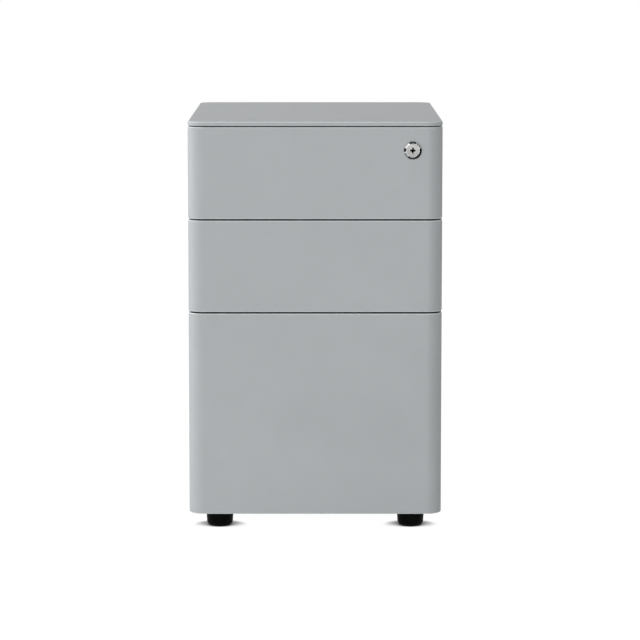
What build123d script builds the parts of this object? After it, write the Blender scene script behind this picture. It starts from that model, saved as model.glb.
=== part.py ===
from build123d import *

import os
from dataclasses import dataclass
from math import cos, radians, sin

# Steel pedestal with two box drawers over a file drawer, on four levelling feet.
# Millimetres. The floor is z = 0, the front faces -Y, and +X is on the right seen from the front.

# Whole object
WIDTH = 390.0
DEPTH = 560.0
HEIGHT = 632.0
FLOOR_CLEARANCE = 26.0
CORNER_RADIUS = 24.0

# Sheet and general clearances
SHEET = 1.2
LINER_SHEET = 1.0
BACK_SHEET = 1.0
TRAY_SHEET = 1.0
BEND_RADIUS = 3.0
EDGE_BEVEL = 1.3
SEAT = 0.3
RUNNING_FIT = 0.05
OVERRUN = 5.0

# Top panel: a pan with a folded rim and a return under it
TOP_THICKNESS = 6.5
TOP_RETURN = 14.0
TOP_LOWER_BEVEL = 0.5
TOP_GAP = 1.6

# Drawer fronts: closed pans that wrap round the upright corners
BOX_FRONT_HEIGHT = 140.8
FRONT_GAP = 2.2
FRONT_DEPTH = 26.0
FRONT_RETURN = 20.0
LINER_EDGE = 6.0
CLOSING_GAP = 1.0

# Finger channel behind the side of the fronts
CHANNEL_DEPTH = 12.0
CHANNEL_WIDTH = 18.0

# Cabinet
SIDE_FLANGE = 15.0
REAR_FLANGE = 45.0
BACK_LAP = 26.0
POST_WELL = 36.0
REAR_POST_WIDTH = 35.0
REAR_POST_INSET = 8.0
REAR_SPACE = 40.0
RAIL_DEPTH = 28.0
RAIL_CLEARANCE = 3.0
BASE_LIP = 12.0
BASE_CHANNEL_WIDTH = 34.0
BASE_CHANNEL_HEIGHT = 16.0

# Feet
FOOT_INSET = 46.5
FOOT_SETBACK = 48.0
FOOT_RADIUS = 20.5
FOOT_BEVEL = 3.5
STUD_RADIUS = 4.0
STUD_OVER = 3.0
STUD_HOLE_CLEARANCE = 1.0
WELD_NUT_RADIUS = 9.0
WELD_NUT_HEIGHT = 8.0

# Trays
BOX_TRAY_RISE = 12.5
FILE_TRAY_GAP = 8.6
FILE_TRAY_DROP = 33.0
TRAY_HEM = 6.0
FILE_RAIL_INSET = 16.1
FILE_RAIL_SHEET = 2.0
FILE_RAIL_HEIGHT = 9.0
FILE_RAIL_END = 12.0

# Telescopic slides, measured across from the post and up from their middle
SLIDE_THICKNESS = 12.7
SLIDE_HEIGHT = 45.0
SLIDE_SHEET = 1.2
SLIDE_SETBACK = 0.8
SLIDE_END_GAP = 1.0
SLIDE_MEMBER_STEP = 2.0
DRAWER_TRAVEL = 430.0
OUTER_REACH = 10.0
OUTER_LIP = 3.0
OUTER_BALL_ROW = 3.6
MIDDLE_LIP = 3.5
INNER_BALL_ROW = 3.0
INNER_REACH = 7.3
RETAINER_SHEET = 0.6
RETAINER_GAP = 0.4
RETAINER_REACH = 5.2
RETAINER_END_GAP = 20.0

# Lock in the top drawer front
LOCK_INSET = 46.2
LOCK_DROP = 43.8
RING_RADIUS = 13.9
RING_BEVEL = 3.5
RING_PROUD = 3.0
RING_RIM = 0.8
BARREL_RADIUS = 11.0
BARREL_TAIL = 1.0
LOCK_NUT_RADIUS = 14.6
LOCK_NUT_THICKNESS = 4.0
PLUG_FACE_RADIUS = 10.0
PLUG_FACE_THICKNESS = 2.4
PLUG_RECESS = 0.5
PLUG_RADIUS = 6.5
PLUG_TAIL_WIDTH = 6.0
KEYWAY_SPAN = 8.4
KEYWAY_TIP = 1.5
KEYWAY_WAIST = 3.1
KEYWAY_DEPTH = 9.0
CAM_RADIUS = 11.0
CAM_SHEET = 2.0
CAM_GAP = 0.3
CRANK_RADIUS = 7.0
CRANK_ANGLE = 45.0
PIN_RADIUS = 2.5
PIN_OVER = 2.0

# Lock bar in the right front post, with the arm that the cam lifts and a hook for each drawer
ARM_GAP = 1.5
ARM_SHEET = 2.0
ARM_HEIGHT = 16.0
ARM_CLEARANCE = 4.0
ARM_INSET = 3.8
SLOT_CLEARANCE = 0.4
SLOT_END = 4.0
BAR_GAP = 0.4
BAR_SHEET = 2.0
BAR_WIDTH = 16.0
BAR_END = 8.0
WINDOW_CLEARANCE = 1.0
HOOK_SHEET = 2.5
HOOK_HEIGHT = 10.0
HOOK_CLEARANCE = 1.5
HOOK_TRAY_GAP = 2.5
HOOK_GAP = 2.0
CATCH_SHEET = 2.0
CATCH_HEIGHT = 10.0
CATCH_LENGTH = 14.0
CATCH_MARGIN = 1.0
CATCH_POST_GAP = 3.0
SLIDE_CLEARANCE = 2.0

# Planes across the width
HALF = WIDTH / 2
SIDE_IN = HALF - SHEET
WEB_OUT = HALF - CHANNEL_DEPTH
BAY = WEB_OUT - SHEET
TRAY_HALF = BAY - SLIDE_THICKNESS
BAR_IN = WEB_OUT + BAR_GAP
LOCK_X = HALF - LOCK_INSET
FOOT_X = HALF - FOOT_INSET

# Planes from front to back
FRONT = -DEPTH / 2
BACK = DEPTH / 2
FRONT_BACK = FRONT + FRONT_DEPTH
LINER_BACK = FRONT_BACK + LINER_SHEET
POST_FRONT = LINER_BACK + CLOSING_GAP
CHANNEL_BACK = FRONT_BACK + CHANNEL_WIDTH
WELL_FRONT = CHANNEL_BACK + SHEET
WELL_BACK = WELL_FRONT + POST_WELL
BAR_Y = WELL_FRONT + POST_WELL / 2
BACK_IN = BACK - SHEET
PANEL_IN = BACK_IN - BACK_SHEET
TRAY_BACK = PANEL_IN - REAR_SPACE
SLIDE_FRONT = WELL_FRONT + SLIDE_SETBACK
SLIDE_BACK = TRAY_BACK - SLIDE_END_GAP
REAR_POST_BACK = SLIDE_BACK - REAR_POST_INSET
FOOT_ROWS = (FRONT + FOOT_SETBACK, BACK - FOOT_SETBACK)
BARREL_BACK = LINER_BACK + LOCK_NUT_THICKNESS + BARREL_TAIL
CAM_FRONT = BARREL_BACK + CAM_GAP
CAM_BACK = CAM_FRONT + CAM_SHEET
ARM_FRONT = CAM_BACK + ARM_GAP
ARM_BACK = ARM_FRONT + ARM_SHEET

# Levels
BODY_TOP = HEIGHT - TOP_THICKNESS
FLANGE_UNDER = BODY_TOP - SHEET
PAN_UNDER = FLOOR_CLEARANCE + SHEET
PAN_TOP = PAN_UNDER + SHEET
BASE_TOP = PAN_TOP + BASE_CHANNEL_HEIGHT
LOCK_Z = HEIGHT - LOCK_DROP
THROW = 2 * CRANK_RADIUS * sin(radians(CRANK_ANGLE))
ARM_Z = LOCK_Z - THROW / 2
ARM_LOW = ARM_Z - ARM_HEIGHT / 2
ARM_HIGH = ARM_Z + ARM_HEIGHT / 2
RAIL_LOW = max(ARM_HIGH + THROW, LOCK_Z + LOCK_NUT_RADIUS) + RAIL_CLEARANCE
TOP_FRONT_HIGH = BODY_TOP - TOP_GAP
TOP_FRONT_LOW = TOP_FRONT_HIGH - BOX_FRONT_HEIGHT
MIDDLE_FRONT_HIGH = TOP_FRONT_LOW - FRONT_GAP
MIDDLE_FRONT_LOW = MIDDLE_FRONT_HIGH - BOX_FRONT_HEIGHT
FILE_FRONT_HIGH = MIDDLE_FRONT_LOW - FRONT_GAP
BOX_TRAY_DROP = TOP_FRONT_HIGH - ARM_LOW + ARM_CLEARANCE


@dataclass(frozen=True)
class Drawer:
    """Levels of one drawer."""

    name: str
    front_low: float
    front_high: float
    tray_low: float
    tray_high: float

    @property
    def catch_low(self):
        return self.tray_high - CATCH_MARGIN - CATCH_HEIGHT

    @property
    def hook_high(self):
        return self.catch_low - HOOK_CLEARANCE

    @property
    def hook_low(self):
        return self.hook_high - HOOK_HEIGHT

    @property
    def slide_z(self):
        return self.hook_low - SLIDE_CLEARANCE - SLIDE_HEIGHT / 2


def box_drawer(name, low, high):
    return Drawer(name, low, high, low + BOX_TRAY_RISE, high - BOX_TRAY_DROP)


TOP_DRAWER = box_drawer("top", TOP_FRONT_LOW, TOP_FRONT_HIGH)
MIDDLE_DRAWER = box_drawer("middle", MIDDLE_FRONT_LOW, MIDDLE_FRONT_HIGH)
FILE_DRAWER = Drawer(
    "file", FLOOR_CLEARANCE, FILE_FRONT_HIGH, BASE_TOP + FILE_TRAY_GAP, FILE_FRONT_HIGH - FILE_TRAY_DROP
)
DRAWERS = (TOP_DRAWER, MIDDLE_DRAWER, FILE_DRAWER)


def block(x0, x1, y0, y1, z0, z1):
    """Box between two planes on each axis."""
    centre = Pos((x0 + x1) / 2, (y0 + y1) / 2, (z0 + z1) / 2)
    return centre * Box(x1 - x0, y1 - y0, z1 - z0)


def patch(x0, x1, y0, y1):
    """Flat rectangle between two planes on each axis."""
    return Pos((x0 + x1) / 2, (y0 + y1) / 2) * Rectangle(x1 - x0, y1 - y0)


def rod(x, z, radius, y0, y1):
    """Cylinder along the depth."""
    return extrude(Plane(origin=(x, y1, z), x_dir=(1, 0, 0), z_dir=(0, -1, 0)) * Circle(radius), y1 - y0)


def along_depth(outline, x, z, y0, y1):
    """Outline drawn in width and height, run along the depth."""
    return extrude(Plane(origin=(x, y1, z), x_dir=(1, 0, 0), z_dir=(0, -1, 0)) * outline, y1 - y0)


def raised(plan, z0, z1):
    """Plan outline raised between two levels."""
    return extrude(Pos(0, 0, z0) * plan, z1 - z0)


def mirrored(part):
    """The same piece on the other side."""
    return mirror(part, about=Plane.YZ)


def rim(part, top):
    """Edges round the top face or the bottom face."""
    return part.faces().sort_by(Axis.Z)[-1 if top else 0].edges()


def top_panel():
    plan = RectangleRounded(WIDTH, DEPTH, CORNER_RADIUS)
    pan = raised(plan, BODY_TOP, HEIGHT)
    pan = chamfer(rim(pan, True), EDGE_BEVEL)
    pan = chamfer(rim(pan, False), TOP_LOWER_BEVEL)
    hollow = RectangleRounded(WIDTH - 2 * SHEET, DEPTH - 2 * SHEET, CORNER_RADIUS - SHEET)
    pan -= raised(hollow, BODY_TOP + SHEET, HEIGHT - SHEET)
    mouth = Rectangle(WIDTH - 2 * TOP_RETURN, DEPTH - 2 * TOP_RETURN)
    return pan - raised(mouth, BODY_TOP - OVERRUN, BODY_TOP + SHEET)


def side_panel():
    """Right side: a sheet folded in at the channel and round the rear corner, flanged above and below."""
    outer = patch(HALF - REAR_FLANGE, HALF, CHANNEL_BACK, BACK)
    outer = fillet(outer.vertices().sort_by(Axis.X)[-2:].sort_by(Axis.Y)[:1], BEND_RADIUS)
    outer = fillet(outer.vertices().group_by(Axis.Y)[-1].sort_by(Axis.X)[-1:], CORNER_RADIUS)
    inner = patch(HALF - REAR_FLANGE - OVERRUN, SIDE_IN, WELL_FRONT, BACK_IN)
    inner = fillet(inner.vertices().sort_by(Axis.X)[-2:].sort_by(Axis.Y)[:1], BEND_RADIUS - SHEET)
    inner = fillet(inner.vertices().group_by(Axis.Y)[-1].sort_by(Axis.X)[-1:], CORNER_RADIUS - SHEET)
    trim = patch(HALF - REAR_FLANGE - OVERRUN, WEB_OUT, CHANNEL_BACK - OVERRUN, WELL_BACK)
    panel = raised(outer - inner - trim, FLOOR_CLEARANCE, BODY_TOP)
    flange_back = BACK - CORNER_RADIUS
    for low in (FLOOR_CLEARANCE, FLANGE_UNDER):
        panel += block(HALF - SIDE_FLANGE, SIDE_IN, WELL_FRONT, flange_back, low, low + SHEET)
    return panel


def back_panel():
    edge = HALF - BACK_LAP
    return block(-edge, edge, PANEL_IN, BACK_IN, FLOOR_CLEARANCE, BODY_TOP)


def base_pan():
    edge = SIDE_IN - SEAT
    nose = WEB_OUT - SEAT
    lip = BAY - SEAT
    step = WELL_FRONT + BEND_RADIUS
    plan = patch(-edge, edge, step, PANEL_IN - SEAT)
    plan = fillet(plan.vertices().group_by(Axis.Y)[-1], CORNER_RADIUS)
    plan += patch(-nose, nose, POST_FRONT, step)
    pan = raised(plan, PAN_UNDER, PAN_TOP)
    pan += block(-lip, lip, POST_FRONT, POST_FRONT + SHEET, PAN_TOP, PAN_TOP + BASE_LIP)
    for y in FOOT_ROWS:
        for x in (-FOOT_X, FOOT_X):
            hole = Cylinder(STUD_RADIUS + STUD_HOLE_CLEARANCE, 2 * OVERRUN)
            pan -= Pos(x, y, PAN_UNDER) * hole
    return pan


def base_channel(y):
    """Upturned channel across the base with a weld nut over each foot."""
    edge = BAY - SEAT
    half = BASE_CHANNEL_WIDTH / 2
    under = BASE_TOP - SHEET
    channel = block(-edge, edge, y - half, y + half, PAN_TOP, BASE_TOP)
    channel -= block(-edge - OVERRUN, edge + OVERRUN, y - half + SHEET, y + half - SHEET, PAN_UNDER, under)
    for x in (-FOOT_X, FOOT_X):
        nut = raised(RegularPolygon(WELD_NUT_RADIUS, 6), under - WELD_NUT_HEIGHT, under)
        channel += Pos(x, y) * nut
        bore = raised(Circle(STUD_RADIUS + RUNNING_FIT), PAN_TOP, BASE_TOP + OVERRUN)
        channel -= Pos(x, y) * bore
    return channel


def front_post():
    """Right front post: the inner wall of the finger channel and the carrier of the slides."""
    post = block(BAY, WEB_OUT, POST_FRONT, WELL_BACK + SHEET, PAN_TOP, FLANGE_UNDER)
    return post + block(WEB_OUT, SIDE_IN, WELL_BACK, WELL_BACK + SHEET, PAN_TOP, FLANGE_UNDER)


def lock_post():
    """Right front post with windows for the lock bar's arm and hooks."""
    post = front_post()
    spans = [(ARM_LOW, ARM_HIGH, ARM_SHEET)]
    spans += [(drawer.hook_low, drawer.hook_high, HOOK_SHEET) for drawer in DRAWERS]
    for low, high, sheet in spans:
        half = sheet / 2 + WINDOW_CLEARANCE
        z0 = low - WINDOW_CLEARANCE
        z1 = high + THROW + WINDOW_CLEARANCE
        post -= block(BAY - OVERRUN, WEB_OUT + OVERRUN, BAR_Y - half, BAR_Y + half, z0, z1)
    return post


def rear_post():
    """Right rear post: a channel with its web towards the drawers."""
    front = REAR_POST_BACK - REAR_POST_WIDTH
    post = block(BAY, SIDE_IN, front, REAR_POST_BACK, PAN_TOP, FLANGE_UNDER)
    well = block(WEB_OUT, SIDE_IN + OVERRUN, front + SHEET, REAR_POST_BACK - SHEET, PAN_UNDER, BODY_TOP)
    return post - well


def top_rail():
    """Channel across the front under the top, open to the back."""
    rail = block(-BAY, BAY, POST_FRONT, POST_FRONT + RAIL_DEPTH, RAIL_LOW, FLANGE_UNDER)
    back = POST_FRONT + RAIL_DEPTH + OVERRUN
    return rail - block(-HALF, HALF, POST_FRONT + SHEET, back, RAIL_LOW + SHEET, FLANGE_UNDER - SHEET)


def foot(x, y):
    """Levelling foot with its stud."""
    top = PAN_UNDER - SEAT
    pad = raised(Circle(FOOT_RADIUS), 0, top)
    pad = chamfer(rim(pad, False), FOOT_BEVEL)
    pad += raised(Circle(STUD_RADIUS), top, BASE_TOP + STUD_OVER)
    return Pos(x, y) * pad


def drawer_front(drawer):
    """Hollow pan with rounded upright corners, open at the back inside its returns."""
    middle = (FRONT + FRONT_BACK) / 2
    plan = Rectangle(WIDTH, FRONT_DEPTH)
    plan = fillet(plan.vertices().group_by(Axis.Y)[0], CORNER_RADIUS)
    pan = raised(plan, drawer.front_low, drawer.front_high)
    for top in (True, False):
        pan = chamfer(rim(pan, top).sort_by(Axis.Y)[:-1], EDGE_BEVEL)
    hollow = Rectangle(WIDTH - 2 * SHEET, FRONT_DEPTH - 2 * SHEET)
    hollow = fillet(hollow.vertices().group_by(Axis.Y)[0], CORNER_RADIUS - SHEET)
    pan -= raised(hollow, drawer.front_low + SHEET, drawer.front_high - SHEET)
    pan = Pos(0, middle) * pan
    edge = HALF - FRONT_RETURN
    low = drawer.front_low + FRONT_RETURN
    high = drawer.front_high - FRONT_RETURN
    return pan - block(-edge, edge, middle, FRONT_BACK + OVERRUN, low, high)


def drawer_liner(drawer):
    low = drawer.front_low + LINER_EDGE
    high = drawer.front_high - LINER_EDGE
    return block(-WEB_OUT, WEB_OUT, FRONT_BACK, LINER_BACK, low, high)


def with_lock_hole(part):
    return part - rod(LOCK_X, LOCK_Z, BARREL_RADIUS + SEAT, FRONT - OVERRUN, LINER_BACK + OVERRUN)


def tray(drawer):
    """Open box with its top edge turned inwards."""
    length = TRAY_BACK - LINER_BACK
    centre = Pos(0, (TRAY_BACK + LINER_BACK) / 2)
    outer = Rectangle(2 * TRAY_HALF, length)
    inside = Rectangle(2 * (TRAY_HALF - TRAY_SHEET), length - 2 * TRAY_SHEET)
    mouth = Rectangle(2 * (TRAY_HALF - TRAY_HEM), length - 2 * TRAY_HEM)
    pan = raised(outer, drawer.tray_low, drawer.tray_high)
    pan -= raised(inside, drawer.tray_low + TRAY_SHEET, drawer.tray_high - TRAY_SHEET)
    pan -= raised(mouth, drawer.tray_low + TRAY_HEM, drawer.tray_high + OVERRUN)
    return centre * pan


def catch(drawer):
    """Bracket on the right of a tray that a hook of the lock bar holds."""
    front = BAR_Y + HOOK_SHEET / 2 + HOOK_GAP
    low = drawer.catch_low
    high = low + CATCH_HEIGHT
    tip = BAY - CATCH_POST_GAP
    bracket = block(TRAY_HALF, tip, front, front + CATCH_SHEET, low, high)
    return bracket + block(TRAY_HALF, TRAY_HALF + CATCH_SHEET, front, front + CATCH_LENGTH, low, high)


def file_rail():
    """Right rail for hanging files, folded up from the tray's edge."""
    level = FILE_DRAWER.tray_high
    fin = TRAY_HALF - FILE_RAIL_INSET
    front = LINER_BACK + FILE_RAIL_END
    back = TRAY_BACK - FILE_RAIL_END
    rail = block(fin, TRAY_HALF, front, back, level, level + FILE_RAIL_SHEET)
    return rail + block(fin, fin + FILE_RAIL_SHEET, front, back, level, level + FILE_RAIL_HEIGHT)


def c_section(web, reach, half_height, sheet, lip=0):
    """Section of a rolled member: web, two flanges and, if asked, lips turned towards the middle."""
    side = 1 if reach > 0 else -1
    web_far = web + side * sheet
    tip = web + reach
    lip_near = tip - side * sheet
    section = patch(min(web, web_far), max(web, web_far), -half_height, half_height)
    for z in (-half_height, half_height):
        inward = -1 if z > 0 else 1
        edge = z + inward * sheet
        section += patch(min(web, tip), max(web, tip), min(z, edge), max(z, edge))
        if lip:
            end = z + inward * lip
            section += patch(min(tip, lip_near), max(tip, lip_near), min(z, end), max(z, end))
    return section


OUTER_HALF = SLIDE_HEIGHT / 2
MIDDLE_HALF = OUTER_HALF - SLIDE_SHEET - OUTER_BALL_ROW
INNER_HALF = MIDDLE_HALF - SLIDE_SHEET - INNER_BALL_ROW
OUTER_RETAINER_WEB = SLIDE_SHEET + RETAINER_GAP
OUTER_RETAINER_HALF = OUTER_HALF - SLIDE_SHEET - OUTER_BALL_ROW / 2 + RETAINER_SHEET / 2
MIDDLE_WEB = OUTER_RETAINER_WEB + RETAINER_SHEET + RETAINER_GAP
MIDDLE_REACH = SLIDE_THICKNESS - RETAINER_GAP - SLIDE_SHEET - MIDDLE_WEB
INNER_RETAINER_WEB = MIDDLE_WEB + SLIDE_SHEET + RETAINER_GAP
INNER_RETAINER_HALF = MIDDLE_HALF - SLIDE_SHEET - INNER_BALL_ROW / 2 + RETAINER_SHEET / 2


def slide_member(section, drawer, front, back):
    """Left slide member from its section."""
    return along_depth(section, -BAY, drawer.slide_z, front, back)


def outer_member(drawer):
    section = c_section(0, OUTER_REACH, OUTER_HALF, SLIDE_SHEET, OUTER_LIP)
    return slide_member(section, drawer, SLIDE_FRONT, SLIDE_BACK)


def middle_member(drawer):
    section = c_section(MIDDLE_WEB, MIDDLE_REACH, MIDDLE_HALF, SLIDE_SHEET, MIDDLE_LIP)
    front = SLIDE_FRONT + SLIDE_MEMBER_STEP
    return slide_member(section, drawer, front, SLIDE_BACK - SLIDE_MEMBER_STEP)


def inner_member(drawer):
    section = c_section(SLIDE_THICKNESS, -INNER_REACH, INNER_HALF, SLIDE_SHEET)
    return slide_member(section, drawer, SLIDE_FRONT, SLIDE_BACK)


def retainer_pair(drawer, web, half_height):
    """Ball retainers of one size on the left and right."""
    middle = (SLIDE_FRONT + SLIDE_BACK) / 2
    half = (SLIDE_BACK - SLIDE_FRONT - DRAWER_TRAVEL / 2 - RETAINER_END_GAP) / 2
    section = c_section(web, RETAINER_REACH, half_height, RETAINER_SHEET)
    left = slide_member(section, drawer, middle - half, middle + half)
    return Compound(children=[left, mirrored(left)])


def lock_barrel():
    """Housing with a bevelled ring on the outside of the front."""
    face = FRONT - RING_PROUD
    rim = FRONT - RING_RIM
    profile = Polyline(
        (0, BARREL_BACK),
        (BARREL_RADIUS, BARREL_BACK),
        (BARREL_RADIUS, FRONT),
        (RING_RADIUS, FRONT),
        (RING_RADIUS, rim),
        (RING_RADIUS - RING_BEVEL, face),
        (0, face),
        close=True,
    )
    body = revolve(make_face(profile), Axis.Y)
    body = Pos(LOCK_X, 0, LOCK_Z) * body
    seat = face + PLUG_RECESS + PLUG_FACE_THICKNESS + CAM_GAP
    body -= rod(LOCK_X, LOCK_Z, PLUG_FACE_RADIUS + RUNNING_FIT, face - OVERRUN, seat)
    return body - rod(LOCK_X, LOCK_Z, PLUG_RADIUS + RUNNING_FIT, face, BARREL_BACK + OVERRUN)


def lock_nut():
    nut = along_depth(
        RegularPolygon(LOCK_NUT_RADIUS, 6), LOCK_X, LOCK_Z, LINER_BACK, LINER_BACK + LOCK_NUT_THICKNESS
    )
    return nut - rod(LOCK_X, LOCK_Z, BARREL_RADIUS + RUNNING_FIT, FRONT, BARREL_BACK)


def keyway():
    """Plus shape whose arms narrow towards their tips."""
    tip = KEYWAY_TIP / 2
    waist = KEYWAY_WAIST / 2
    span = KEYWAY_SPAN / 2
    points = []
    for turn in range(4):
        c = (1, 0, -1, 0)[turn]
        s = (0, 1, 0, -1)[turn]
        for x, y in ((span, -tip), (span, tip), (waist, waist)):
            points.append((c * x - s * y, s * x + c * y))
    return make_face(Polyline(*points, close=True))


def lock_plug():
    face = FRONT - RING_PROUD + PLUG_RECESS
    shoulder = face + PLUG_FACE_THICKNESS
    plug = rod(LOCK_X, LOCK_Z, PLUG_FACE_RADIUS, face, shoulder)
    plug += rod(LOCK_X, LOCK_Z, PLUG_RADIUS, shoulder, CAM_FRONT)
    square = Rectangle(PLUG_TAIL_WIDTH, PLUG_TAIL_WIDTH)
    plug += along_depth(square, LOCK_X, LOCK_Z, CAM_FRONT, CAM_BACK)
    return plug - along_depth(keyway(), LOCK_X, LOCK_Z, face - OVERRUN, face + KEYWAY_DEPTH)


def lock_cam():
    """Disc on the plug's tail with a crank pin, low on the left while unlocked."""
    cam = rod(LOCK_X, LOCK_Z, CAM_RADIUS, CAM_FRONT, CAM_BACK)
    hole = PLUG_TAIL_WIDTH + 2 * RUNNING_FIT
    cam -= along_depth(Rectangle(hole, hole), LOCK_X, LOCK_Z, CAM_FRONT - OVERRUN, CAM_BACK + OVERRUN)
    pin_x = LOCK_X - CRANK_RADIUS * cos(radians(CRANK_ANGLE))
    return cam + rod(pin_x, ARM_Z, PIN_RADIUS, CAM_FRONT, ARM_BACK + PIN_OVER)


def lock_arm():
    """Strip that reaches from the lock bar to the cam, with a level slot for the crank pin."""
    inner = BAY - ARM_INSET - ARM_SHEET
    outer = BAY - ARM_INSET
    half = ARM_SHEET / 2
    tip = LOCK_X - CRANK_RADIUS - PIN_RADIUS - SLOT_END
    plan = patch(inner, BAR_IN, BAR_Y - half, BAR_Y + half)
    plan += patch(inner, outer, ARM_FRONT, BAR_Y + half)
    plan += patch(tip, outer, ARM_FRONT, ARM_BACK)
    arm = raised(plan, ARM_LOW, ARM_HIGH)
    play = PIN_RADIUS + SLOT_CLEARANCE
    x0 = LOCK_X - CRANK_RADIUS - play
    x1 = LOCK_X - CRANK_RADIUS * cos(radians(CRANK_ANGLE)) + play
    return arm - block(x0, x1, ARM_FRONT - OVERRUN, ARM_BACK + OVERRUN, ARM_Z - play, ARM_Z + play)


def lock_bar():
    half = BAR_WIDTH / 2
    low = FILE_DRAWER.hook_low - BAR_END
    return block(BAR_IN, BAR_IN + BAR_SHEET, BAR_Y - half, BAR_Y + half, low, ARM_HIGH)


def lock_hooks():
    half = HOOK_SHEET / 2
    tip = TRAY_HALF + HOOK_TRAY_GAP
    hooks = [block(tip, BAR_IN, BAR_Y - half, BAR_Y + half, d.hook_low, d.hook_high) for d in DRAWERS]
    return Compound(children=hooks)


def cabinet_nodes():
    side = side_panel()
    post = front_post()
    rear = rear_post()
    nodes = {
        "top_panel": top_panel(),
        "side_panel_left": mirrored(side),
        "side_panel_right": side,
        "back_panel": back_panel(),
        "base_pan": base_pan(),
        "base_channel_front": base_channel(FOOT_ROWS[0]),
        "base_channel_rear": base_channel(FOOT_ROWS[1]),
        "top_rail": top_rail(),
        "front_post_left": mirrored(post),
        "front_post_right": lock_post(),
        "rear_post_left": mirrored(rear),
        "rear_post_right": rear,
    }
    for row, y in zip(("front", "rear"), FOOT_ROWS):
        for side_name, x in (("left", -FOOT_X), ("right", FOOT_X)):
            nodes[f"foot_{row}_{side_name}"] = foot(x, y)
    return nodes


def drawer_nodes(drawer):
    name = drawer.name
    front = drawer_front(drawer)
    liner = drawer_liner(drawer)
    if drawer is TOP_DRAWER:
        front = with_lock_hole(front)
        liner = with_lock_hole(liner)
    nodes = {
        f"{name}_drawer_front": front,
        f"{name}_drawer_liner": liner,
        f"{name}_drawer_tray": tray(drawer),
        f"{name}_drawer_catch": catch(drawer),
        f"{name}_outer_retainers": retainer_pair(drawer, OUTER_RETAINER_WEB, OUTER_RETAINER_HALF),
        f"{name}_inner_retainers": retainer_pair(drawer, INNER_RETAINER_WEB, INNER_RETAINER_HALF),
    }
    members = {"outer": outer_member(drawer), "middle": middle_member(drawer), "inner": inner_member(drawer)}
    for member, left in members.items():
        nodes[f"{name}_slide_{member}_left"] = left
        nodes[f"{name}_slide_{member}_right"] = mirrored(left)
    return nodes


def lock_nodes():
    return {
        "lock_barrel": lock_barrel(),
        "lock_nut": lock_nut(),
        "lock_plug": lock_plug(),
        "lock_cam": lock_cam(),
        "lock_arm": lock_arm(),
        "lock_bar": lock_bar(),
        "lock_hooks": lock_hooks(),
    }


def all_nodes():
    nodes = cabinet_nodes()
    for drawer in DRAWERS:
        nodes.update(drawer_nodes(drawer))
    rail = file_rail()
    nodes["file_rails"] = Compound(children=[mirrored(rail), rail])
    nodes.update(lock_nodes())
    return nodes


def main():
    os.makedirs("parts", exist_ok=True)
    for name, part in all_nodes().items():
        export_step(part, f"parts/{name}.step")


if __name__ == "__main__":
    main()
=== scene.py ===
"""Looks of the three-drawer steel pedestal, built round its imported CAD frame.

Metres, in the frame's own axes: the floor is z = 0, the front faces -Y, and +X is on the right
seen from the front.
"""

import logging
import math
from dataclasses import dataclass
from enum import Enum
from typing import Any, Dict, List, Optional, Sequence, Tuple

import bmesh
import bpy
from mathutils import Matrix, Vector


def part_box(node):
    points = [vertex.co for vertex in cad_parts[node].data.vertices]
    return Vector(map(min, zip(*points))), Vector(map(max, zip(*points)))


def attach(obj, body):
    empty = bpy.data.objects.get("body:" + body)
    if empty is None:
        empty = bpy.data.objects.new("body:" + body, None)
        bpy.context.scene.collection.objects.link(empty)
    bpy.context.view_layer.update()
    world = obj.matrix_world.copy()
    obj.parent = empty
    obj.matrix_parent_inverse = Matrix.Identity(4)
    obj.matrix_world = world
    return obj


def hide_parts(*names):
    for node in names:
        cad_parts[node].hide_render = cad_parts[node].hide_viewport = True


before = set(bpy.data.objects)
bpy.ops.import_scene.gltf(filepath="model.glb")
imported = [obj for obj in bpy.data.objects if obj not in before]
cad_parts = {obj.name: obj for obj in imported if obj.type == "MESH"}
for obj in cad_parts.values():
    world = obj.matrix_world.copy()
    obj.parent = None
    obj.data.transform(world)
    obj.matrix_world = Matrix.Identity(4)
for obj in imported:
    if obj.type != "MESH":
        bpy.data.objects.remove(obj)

LOG = logging.getLogger("pedestal")
MM = 0.001
UNIT = (0.0, 1.0)

Colour = Tuple[float, float, float]
Point = Tuple[float, float, float]
Span = Tuple[float, float]
Profile = Tuple[Span, ...]
Material = bpy.types.Material
Node = bpy.types.Node
Socket = bpy.types.NodeSocket
Tree = bpy.types.NodeTree


class Side(Enum):
    """The two sides of the pedestal, seen from the front."""

    LEFT = "left"
    RIGHT = "right"

    @property
    def sign(self) -> int:
        """Sign of the x axis on this side."""
        return -1 if self is Side.LEFT else 1


class DrawerName(Enum):
    """The three drawers from the top down."""

    TOP = "top"
    MIDDLE = "middle"
    FILE = "file"


class Slot(Enum):
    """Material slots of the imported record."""

    SLIDE = "slide_steel"
    ZINC = "zinc_steel"
    CHROME = "lock_chrome"
    SATIN = "lock_satin"
    NYLON = "black_plastic"


class Form(Enum):
    """Outline of one ring of a turned piece."""

    ROUND = "round"
    HEX = "hex"
    PLUS = "plus"


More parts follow.
